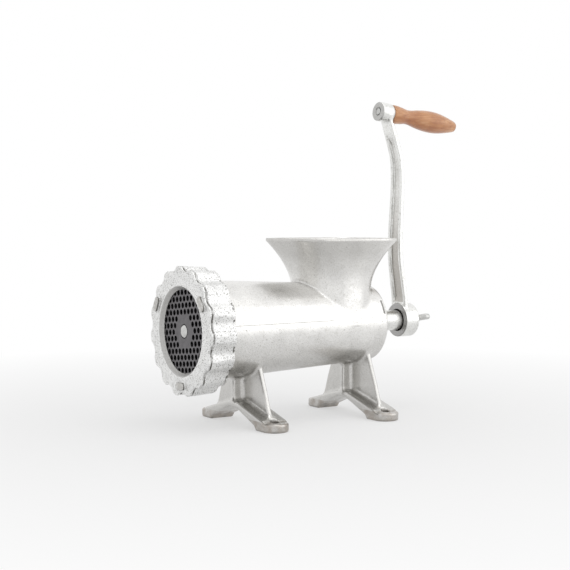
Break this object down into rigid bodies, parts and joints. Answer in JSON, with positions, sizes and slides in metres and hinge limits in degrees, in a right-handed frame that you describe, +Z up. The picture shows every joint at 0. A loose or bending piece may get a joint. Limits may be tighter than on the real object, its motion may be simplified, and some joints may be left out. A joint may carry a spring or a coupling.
{
  "type": "hand crank meat grinder",
  "caption": "Bench-mounted hand crank meat grinder with a flared hopper, fluted ring nut, perforated plate, bolt-down feet and a curved crank with a wooden grip.",
  "frame": {"origin": "centre of the foot bolt holes, on the bench plane", "axes": "+X along the screw axis from the meat outlet towards the crank, +Z up, +Y completes the right-handed set"},
  "size_m": [0.3708, 0.154, 0.3538],
  "materials": {
    "tinned_iron": "cast and hot-tinned, bright with grey shading and small pits",
    "tinned_iron_ring": "sand cast and hot-tinned, pitted and satin",
    "dark_steel": "ground carbon steel, oiled",
    "bright_steel": "turned and polished",
    "fibre": "pressed vulcanised fibre",
    "varnished_wood": "turned beech, clear varnish"
  },
  "bodies": {
    "casting": {"body_casting": "tinned_iron", "rear_bush": "bright_steel", "plate_key": "bright_steel", "thrust_washer": "fibre"},
    "crank": {"auger": "tinned_iron", "front_stud": "bright_steel", "knife": "dark_steel", "crank_arm": "tinned_iron", "handle_spindle": "bright_steel", "handle_washer": "bright_steel", "handle_end_washer": "bright_steel"},
    "grip": {"handle_grip": "varnished_wood"},
    "plate": {"grinder_plate": "dark_steel"},
    "ring": {"ring_nut": "tinned_iron_ring"},
    "screw_washer": {"crank_washer": "bright_steel"},
    "screw": {"thumb_screw": "bright_steel"}
  },
  "joints": [
    {"name": "crank_spin", "type": "hinge", "parent": "casting", "child": "crank", "pos_m": [0, 0, 0.103], "axis": [1, 0, 0], "continuous": true},
    {"name": "grip_spin", "type": "hinge", "parent": "crank", "child": "grip", "pos_m": [0.115, 0, 0.342], "axis": [0.9925, 0, -0.1219], "continuous": true},
    {"name": "ring_travel", "type": "slide", "parent": "casting", "child": "plate", "axis": [-1, 0, 0], "range_m": [0, 0.0241]},
    {"name": "ring_turn", "type": "hinge", "parent": "plate", "child": "ring", "pos_m": [0, 0, 0.103], "axis": [-1, 0, 0], "range_deg": [0, 2880]},
    {"name": "screw_travel", "type": "slide", "parent": "crank", "child": "screw_washer", "axis": [1, 0, 0], "range_m": [0, 0.021]},
    {"name": "screw_turn", "type": "hinge", "parent": "screw_washer", "child": "screw", "pos_m": [0, 0, 0.103], "axis": [1, 0, 0], "range_deg": [0, 5040]}
  ],
  "couplings": [
    {"joint": "ring_travel", "follows": "ring_turn", "m_per_rad": 0.00047746},
    {"joint": "screw_turn", "follows": "screw_travel", "rad_per_m": 4188.8}
  ]
}
